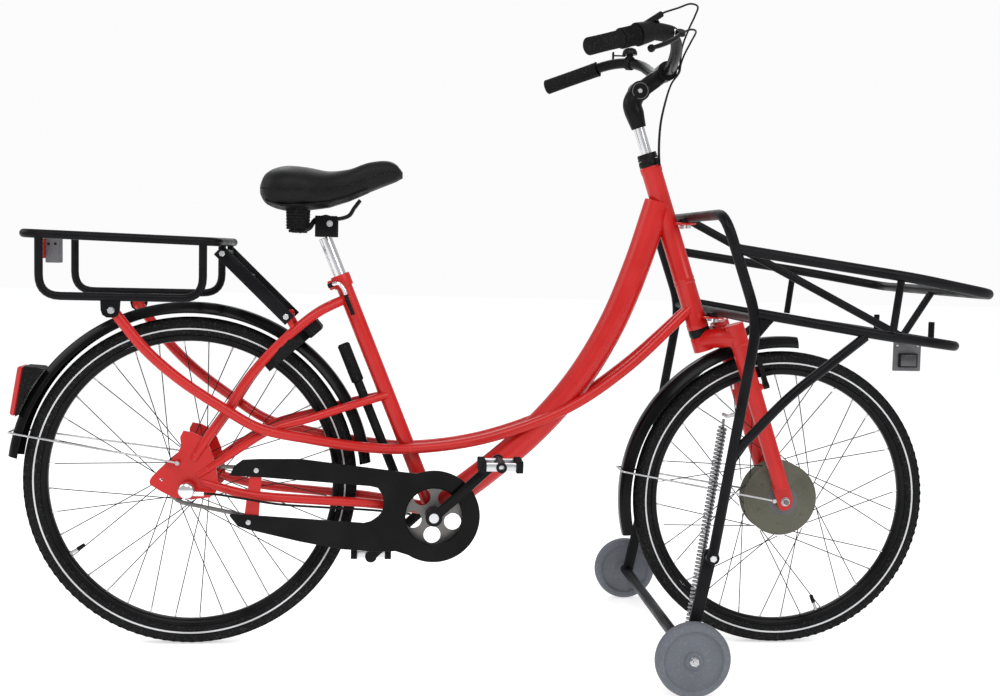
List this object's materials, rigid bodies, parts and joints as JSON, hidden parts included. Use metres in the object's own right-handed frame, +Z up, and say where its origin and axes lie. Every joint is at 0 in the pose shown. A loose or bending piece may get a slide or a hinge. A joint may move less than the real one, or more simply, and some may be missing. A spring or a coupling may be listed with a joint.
{
  "type": "transport bicycle",
  "caption": "Low-step transport bicycle with hub motor, front carrier on the frame, rear rack, chain guard, ring lock and a sprung two-wheel front stand.",
  "frame": {"origin": "centre of the bounding box in plan, on the ground", "axes": "+X forward, +Y to the bicycle left side, +Z up"},
  "size_m": [1.8964, 0.7642, 1.2927],
  "materials": {
    "tyre": "matt rubber with a pale reflective line",
    "rim": "semi gloss black",
    "hub_silver": "satin",
    "motor": "satin olive grey",
    "chain_steel": "oiled",
    "guard_plastic": "semi gloss",
    "frame_paint": "gloss",
    "black_paint": "satin",
    "bare_steel": "plain",
    "crank_alloy": "satin",
    "black_plastic": "matt",
    "rack_paint": "satin powder coat",
    "red_lens": "gloss",
    "clear_lens": "clear over red",
    "mudguard_plastic": "semi gloss",
    "lever_alloy": "polished",
    "cable_sleeve": "satin",
    "saddle_cover": "matt synthetic cover",
    "post_alloy": "polished",
    "grip_rubber": "matt",
    "grey_plastic": "matt",
    "spring_steel": "zinc",
    "wheel_grey": "matt blue grey"
  },
  "bodies": {
    "stem": {"bell": "black_plastic", "control_cables": "cable_sleeve", "control_housing": "black_plastic", "handlebar": "black_paint", "left_grip": "grip_rubber", "right_grip": "grip_rubber", "stem_extension": "black_paint"},
    "bell_lever": {"bell_lever": "black_plastic"},
    "bicycle": {"bottom_bracket_cartridge": "bare_steel", "chain": "chain_steel", "chain_guard": "guard_plastic", "frame": "frame_paint", "front_lamp_plate": "grey_plastic", "front_rack": "rack_paint", "headset_lower_cup": "black_paint", "headset_upper_cup": "black_paint", "pump": "black_plastic", "rear_axle": "bare_steel", "rear_mudguard": "mudguard_plastic", "rear_mudguard_stay": "bare_steel", "rear_rack": "rack_paint", "rear_rack_strut": "rack_paint", "rear_reflector": "red_lens", "ring_lock_body": "black_plastic", "shift_box": "hub_silver", "shift_cable": "cable_sleeve", "stand_spring": "spring_steel", "tail_light_body": "black_plastic", "tail_light_lens": "clear_lens"},
    "brake_lever": {"brake_lever": "black_paint"},
    "steering": {"fork": "frame_paint", "front_axle": "bare_steel", "front_mudguard": "mudguard_plastic", "front_mudguard_stay": "bare_steel", "headset_locknut": "black_paint", "quill_stem": "black_paint"},
    "brake_arm_left": {"front_brake_left_arm": "black_paint"},
    "brake_arm_right": {"front_brake_right_arm": "black_paint"},
    "front_wheel": {"front_rim": "rim", "front_tyre": "tyre", "hub_motor": "motor"},
    "crank": {"left_crank": "crank_alloy", "right_crank": "crank_alloy"},
    "left_pedal": {"left_pedal": "black_plastic"},
    "rear_wheel": {"rear_hub_shell": "hub_silver", "rear_rim": "rim", "rear_tyre": "tyre"},
    "rear_sprocket": {"rear_sprocket": "bare_steel"},
    "right_pedal": {"right_pedal": "black_plastic"},
    "lock_shackle": {"ring_lock_shackle": "bare_steel"},
    "saddle": {"saddle_clamp": "black_paint", "saddle_cushion": "saddle_cover", "saddle_rails": "bare_steel", "saddle_shell": "black_plastic"},
    "seat_lever": {"seat_lever": "lever_alloy"},
    "seatpost": {"seatpost": "post_alloy"},
    "shifter": {"shifter_sleeve": "grip_rubber"},
    "stand": {"stand_arms": "rack_paint"},
    "stand_wheel_left": {"stand_wheel_left": "wheel_grey"},
    "stand_wheel_right": {"stand_wheel_right": "wheel_grey"}
  },
  "joints": [
    {"name": "rear_wheel_spin", "type": "hinge", "parent": "bicycle", "child": "rear_wheel", "pos_m": [-0.58818, 0, 0.332], "axis": [0, 1, 0], "continuous": true},
    {"name": "rear_sprocket_spin", "type": "hinge", "parent": "bicycle", "child": "rear_sprocket", "pos_m": [-0.58818, 0, 0.332], "axis": [0, 1, 0], "continuous": true},
    {"name": "crank_spin", "type": "hinge", "parent": "bicycle", "child": "crank", "pos_m": [-0.10118, 0, 0.275], "axis": [0, 1, 0], "continuous": true},
    {"name": "right_pedal_spin", "type": "hinge", "parent": "crank", "child": "right_pedal", "pos_m": [0.02388, 0, 0.39162], "axis": [0, 1, 0], "continuous": true},
    {"name": "left_pedal_spin", "type": "hinge", "parent": "crank", "child": "left_pedal", "pos_m": [-0.22624, 0, 0.15838], "axis": [0, 1, 0], "continuous": true},
    {"name": "steering_turn", "type": "hinge", "parent": "bicycle", "child": "steering", "pos_m": [0.4409, 0, 0.65866], "axis": [-0.319, 0, 0.9478], "range_deg": [-50, 50]},
    {"name": "front_wheel_spin", "type": "hinge", "parent": "steering", "child": "front_wheel", "pos_m": [0.62182, 0, 0.307], "axis": [0, 1, 0], "continuous": true},
    {"name": "front_brake_left_swing", "type": "hinge", "parent": "steering", "child": "brake_arm_left", "pos_m": [0.57102, 0.041, 0.54418], "axis": [0.9478, 0, 0.319], "range_deg": [0, 3]},
    {"name": "front_brake_right_swing", "type": "hinge", "parent": "steering", "child": "brake_arm_right", "pos_m": [0.57102, -0.041, 0.54418], "axis": [-0.9478, 0, -0.319], "range_deg": [0, 3]},
    {"name": "stem_tilt", "type": "hinge", "parent": "steering", "child": "stem", "pos_m": [0.30184, 0, 1.13773], "axis": [0, 1, 0], "range_deg": [-25, 30], "deforming": ["control_cables"]},
    {"name": "gear_twist", "type": "hinge", "parent": "stem", "child": "shifter", "pos_m": [0.25718, -0.24827, 1.21446], "axis": [-0.8246, -0.4908, -0.2814], "range_deg": [-60, 90]},
    {"name": "brake_lever_squeeze", "type": "hinge", "parent": "stem", "child": "brake_lever", "pos_m": [0.33662, -0.22294, 1.22249], "axis": [-0.0839, 0.5549, -0.8277], "range_deg": [0, 13], "stiffness_Nm_per_rad": 0.6, "springref_deg": -6.88},
    {"name": "bell_lever_push", "type": "hinge", "parent": "stem", "child": "bell_lever", "pos_m": [0.3045, 0.205, 1.23829], "axis": [0, 0, 1], "range_deg": [0, 20], "stiffness_Nm_per_rad": 0.02, "springref_deg": -5.73},
    {"name": "seatpost_slide", "type": "slide", "parent": "bicycle", "child": "seatpost", "axis": [-0.3795, 0, 0.9252], "range_m": [-0.045, 0.12]},
    {"name": "saddle_tilt", "type": "hinge", "parent": "seatpost", "child": "saddle", "pos_m": [-0.32488, 0, 0.85207], "axis": [0, 1, 0], "range_deg": [-12, 12]},
    {"name": "seat_lever_swing", "type": "hinge", "parent": "bicycle", "child": "seat_lever", "pos_m": [-0.31417, -0.0245, 0.73239], "axis": [-0.9252, 0, -0.3795], "range_deg": [0, 120]},
    {"name": "lock_close", "type": "hinge", "parent": "bicycle", "child": "lock_shackle", "pos_m": [-0.40668, 0, 0.597], "axis": [-0.6601, 0, 0.7511], "range_deg": [0, 112]},
    {"name": "stand_fold", "type": "hinge", "parent": "bicycle", "child": "stand", "pos_m": [0.40391, 0, 0.253], "axis": [0, 1, 0], "range_deg": [0, 85], "deforming": ["stand_spring"]},
    {"name": "stand_wheel_right_spin", "type": "hinge", "parent": "stand", "child": "stand_wheel_right", "pos_m": [0.3669, -0.3575, 0.07], "axis": [0, 1, 0], "continuous": true},
    {"name": "stand_wheel_left_spin", "type": "hinge", "parent": "stand", "child": "stand_wheel_left", "pos_m": [0.3669, 0.3575, 0.07], "axis": [0, 1, 0], "continuous": true}
  ],
  "couplings": [
    {"joint": "rear_sprocket_spin", "follows": "crank_spin", "ratio": 2.1111},
    {"joint": "front_brake_left_swing", "follows": "brake_lever_squeeze", "ratio": 0.23077},
    {"joint": "front_brake_right_swing", "follows": "brake_lever_squeeze", "ratio": 0.23077}
  ]
}
